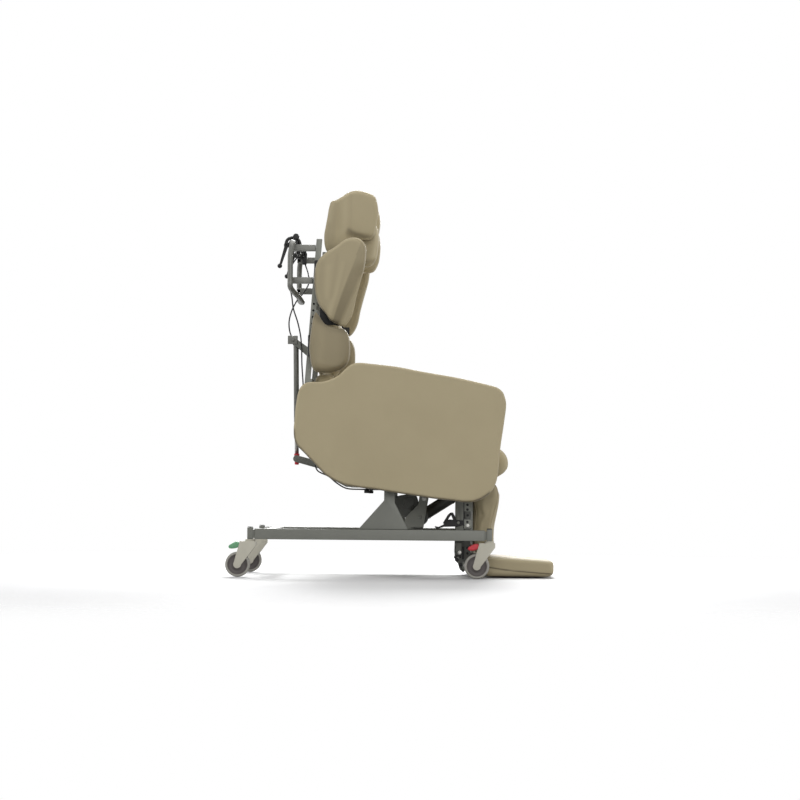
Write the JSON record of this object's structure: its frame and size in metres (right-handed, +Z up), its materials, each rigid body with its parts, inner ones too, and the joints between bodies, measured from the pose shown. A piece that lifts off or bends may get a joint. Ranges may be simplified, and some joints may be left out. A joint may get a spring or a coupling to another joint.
{
  "type": "tilt-in-space chair",
  "caption": "Tilt-in-space care chair with a castor base, a tilting seat, a reclining winged back, lift-off padded arms and a raising leg rest with a footplate.",
  "frame": {"origin": "on the floor, under the middle of the chair's length and width", "axes": "+Z up, +X towards the footplate, which is the way the sitter faces, +Y to the sitter's left"},
  "size_m": [1.0916, 0.678, 1.297],
  "materials": {
    "frame": "satin",
    "handle_steel": "satin",
    "shaft_steel": "satin",
    "spring_body": "satin",
    "foot_bracket": "satin",
    "upholstery": "matte",
    "black_plastic": "satin",
    "cable": "matte",
    "castor_plastic": "satin",
    "castor_tyre": "matte",
    "pedal_red": "satin",
    "pedal_green": "satin"
  },
  "bodies": {
    "base": {"base_rail_left": "frame", "base_rail_right": "frame", "base_cross_front": "frame", "base_cross_rear": "frame", "tower_left": "frame", "tower_right": "frame", "tilt_spring_bracket": "frame", "tilt_shaft": "shaft_steel"},
    "castor_front_left": {"castor_fork_front_left": "castor_plastic"},
    "wheel_front_left": {"castor_wheel_front_left": "castor_tyre"},
    "pedal_front_left": {"castor_pedal_front_left": "pedal_red"},
    "castor_front_right": {"castor_fork_front_right": "castor_plastic"},
    "wheel_front_right": {"castor_wheel_front_right": "castor_tyre"},
    "pedal_front_right": {"castor_pedal_front_right": "pedal_red"},
    "castor_rear_left": {"castor_fork_rear_left": "castor_plastic"},
    "wheel_rear_left": {"castor_wheel_rear_left": "castor_tyre"},
    "pedal_rear_left": {"castor_pedal_rear_left": "pedal_green"},
    "castor_rear_right": {"castor_fork_rear_right": "castor_plastic"},
    "wheel_rear_right": {"castor_wheel_rear_right": "castor_tyre"},
    "pedal_rear_right": {"castor_pedal_rear_right": "pedal_green"},
    "seat": {"seat_frame": "frame", "seat_cushion": "upholstery", "recline_shaft": "shaft_steel", "arm_knob_left": "black_plastic", "arm_knob_right": "black_plastic", "lever_cable_seat": "cable"},
    "tilt_spring_tube": {"tilt_spring_tube": "spring_body"},
    "tilt_spring_rod": {"tilt_spring_rod": "shaft_steel"},
    "arm_left": {"arm_panel_left": "upholstery", "arm_post_left": "frame"},
    "arm_right": {"arm_panel_right": "upholstery", "arm_post_right": "frame"},
    "back": {"back_frame": "frame", "hip_cushion": "upholstery", "lumbar_cushion": "upholstery", "thoracic_cushion": "upholstery", "push_handle": "handle_steel", "lever_clamp_left": "black_plastic", "lever_clamp_right": "black_plastic", "lever_cable_left": "cable", "lever_cable_right": "cable"},
    "release_lever_left": {"release_lever_left": "black_plastic"},
    "release_lever_right": {"release_lever_right": "black_plastic"},
    "recline_strut_sleeve": {"recline_strut_sleeve": "handle_steel"},
    "recline_strut_rod": {"recline_strut_rod": "shaft_steel"},
    "head_support": {"head_post": "frame", "head_cushion": "upholstery", "head_wing_left": "upholstery", "head_wing_right": "upholstery", "shoulder_wing_left": "upholstery", "shoulder_wing_right": "upholstery"},
    "upper_wing_left": {"upper_wing_left": "upholstery"},
    "lumbar_wing_left": {"lumbar_wing_left": "upholstery"},
    "upper_wing_right": {"upper_wing_right": "upholstery"},
    "lumbar_wing_right": {"lumbar_wing_right": "upholstery"},
    "leg_rest": {"leg_frame": "frame", "leg_pad": "upholstery"},
    "leg_slide": {"leg_slide": "foot_bracket"},
    "footplate": {"footplate": "upholstery"},
    "leg_release_lever": {"leg_release_lever": "black_plastic"}
  },
  "joints": [
    {"name": "castor_front_left_swivel", "type": "hinge", "parent": "base", "child": "castor_front_left", "pos_m": [0.32775, 0.274, 0.121], "axis": [0, 0, 1], "continuous": true},
    {"name": "castor_front_left_roll", "type": "hinge", "parent": "castor_front_left", "child": "wheel_front_left", "pos_m": [0.28675, 0.274, 0.0415], "axis": [0, 1, 0], "continuous": true},
    {"name": "castor_front_left_pedal", "type": "hinge", "parent": "castor_front_left", "child": "pedal_front_left", "pos_m": [0.29445, 0.274, 0.102], "axis": [0, -1, 0], "range_deg": [0, 12]},
    {"name": "castor_front_right_swivel", "type": "hinge", "parent": "base", "child": "castor_front_right", "pos_m": [0.32775, -0.274, 0.121], "axis": [0, 0, 1], "continuous": true},
    {"name": "castor_front_right_roll", "type": "hinge", "parent": "castor_front_right", "child": "wheel_front_right", "pos_m": [0.28675, -0.274, 0.0415], "axis": [0, 1, 0], "continuous": true},
    {"name": "castor_front_right_pedal", "type": "hinge", "parent": "castor_front_right", "child": "pedal_front_right", "pos_m": [0.29445, -0.274, 0.102], "axis": [0, -1, 0], "range_deg": [0, 12]},
    {"name": "castor_rear_left_swivel", "type": "hinge", "parent": "base", "child": "castor_rear_left", "pos_m": [-0.46325, 0.274, 0.121], "axis": [0, 0, 1], "continuous": true},
    {"name": "castor_rear_left_roll", "type": "hinge", "parent": "castor_rear_left", "child": "wheel_rear_left", "pos_m": [-0.50425, 0.274, 0.0415], "axis": [0, 1, 0], "continuous": true},
    {"name": "castor_rear_left_pedal", "type": "hinge", "parent": "castor_rear_left", "child": "pedal_rear_left", "pos_m": [-0.49655, 0.274, 0.102], "axis": [0, -1, 0], "range_deg": [0, 12]},
    {"name": "castor_rear_right_swivel", "type": "hinge", "parent": "base", "child": "castor_rear_right", "pos_m": [-0.46325, -0.274, 0.121], "axis": [0, 0, 1], "continuous": true},
    {"name": "castor_rear_right_roll", "type": "hinge", "parent": "castor_rear_right", "child": "wheel_rear_right", "pos_m": [-0.50425, -0.274, 0.0415], "axis": [0, 1, 0], "continuous": true},
    {"name": "castor_rear_right_pedal", "type": "hinge", "parent": "castor_rear_right", "child": "pedal_rear_right", "pos_m": [-0.49655, -0.274, 0.102], "axis": [0, -1, 0], "range_deg": [0, 12]},
    {"name": "tilt", "type": "hinge", "parent": "base", "child": "seat", "pos_m": [-0.00325, 0, 0.318], "axis": [0, -1, 0], "range_deg": [0, 25]},
    {"name": "tilt_spring_swing", "type": "hinge", "parent": "base", "child": "tilt_spring_tube", "pos_m": [0.09675, 0, 0.2], "axis": [0, -1, 0], "range_deg": [0, 25]},
    {"name": "tilt_spring_stroke", "type": "slide", "parent": "tilt_spring_tube", "child": "tilt_spring_rod", "axis": [0.8437, 0, 0.5369], "range_m": [0, 0.07]},
    {"name": "arm_left_height", "type": "slide", "parent": "seat", "child": "arm_left", "axis": [0, 0, 1], "range_m": [0, 0.06]},
    {"name": "arm_right_height", "type": "slide", "parent": "seat", "child": "arm_right", "axis": [0, 0, 1], "range_m": [0, 0.06]},
    {"name": "recline", "type": "hinge", "parent": "seat", "child": "back", "pos_m": [-0.20325, 0, 0.42], "axis": [0, -1, 0], "range_deg": [0, 30]},
    {"name": "release_lever_left_squeeze", "type": "hinge", "parent": "back", "child": "release_lever_left", "pos_m": [-0.35925, 0.193, 1.111], "axis": [0, -1, 0], "range_deg": [0, 15], "stiffness_Nm_per_rad": 0.6, "springref_deg": -2.86},
    {"name": "release_lever_right_squeeze", "type": "hinge", "parent": "back", "child": "release_lever_right", "pos_m": [-0.35925, -0.193, 1.111], "axis": [0, -1, 0], "range_deg": [0, 15], "stiffness_Nm_per_rad": 0.6, "springref_deg": -2.86},
    {"name": "recline_strut_swing", "type": "hinge", "parent": "back", "child": "recline_strut_sleeve", "pos_m": [-0.34325, 0, 0.802], "axis": [0, -1, 0], "range_deg": [0, 2]},
    {"name": "recline_strut_stroke", "type": "slide", "parent": "recline_strut_sleeve", "child": "recline_strut_rod", "axis": [0.0172, 0, -0.9999], "range_m": [-0.068, 0]},
    {"name": "head_height", "type": "slide", "parent": "back", "child": "head_support", "axis": [0.0732, 0, 0.9973], "range_m": [0, 0.08]},
    {"name": "upper_wing_left_swing", "type": "hinge", "parent": "back", "child": "upper_wing_left", "pos_m": [-0.25478, 0.2356, 1.02], "axis": [0, 0, 1], "range_deg": [0, 25]},
    {"name": "lumbar_wing_left_swing", "type": "hinge", "parent": "back", "child": "lumbar_wing_left", "pos_m": [-0.27313, 0.2356, 0.77], "axis": [0, 0, 1], "range_deg": [0, 25]},
    {"name": "upper_wing_right_swing", "type": "hinge", "parent": "back", "child": "upper_wing_right", "pos_m": [-0.25478, -0.2356, 1.02], "axis": [0, 0, -1], "range_deg": [0, 25]},
    {"name": "lumbar_wing_right_swing", "type": "hinge", "parent": "back", "child": "lumbar_wing_right", "pos_m": [-0.27313, -0.2356, 0.77], "axis": [0, 0, -1], "range_deg": [0, 25]},
    {"name": "leg_elevate", "type": "hinge", "parent": "seat", "child": "leg_rest", "pos_m": [0.33175, 0, 0.38], "axis": [0, -1, 0], "range_deg": [0, 70]},
    {"name": "leg_length", "type": "slide", "parent": "leg_rest", "child": "leg_slide", "axis": [0, 0, -1], "range_m": [0, 0.05]},
    {"name": "foot_angle", "type": "hinge", "parent": "leg_slide", "child": "footplate", "pos_m": [0.31675, 0, 0.06], "axis": [0, -1, 0], "range_deg": [0, 20]},
    {"name": "leg_release", "type": "hinge", "parent": "leg_rest", "child": "leg_release_lever", "pos_m": [0.22575, -0.192, 0.184], "axis": [0, -1, 0], "range_deg": [0, 12], "stiffness_Nm_per_rad": 0.4, "springref_deg": -5.73}
  ],
  "couplings": [
    {"joint": "tilt_spring_swing", "follows": "tilt", "ratio": 0.973},
    {"joint": "tilt_spring_stroke", "follows": "tilt", "m_per_rad": 0.153},
    {"joint": "recline_strut_swing", "follows": "recline", "ratio": 0.023},
    {"joint": "recline_strut_stroke", "follows": "recline", "m_per_rad": -0.1245}
  ]
}
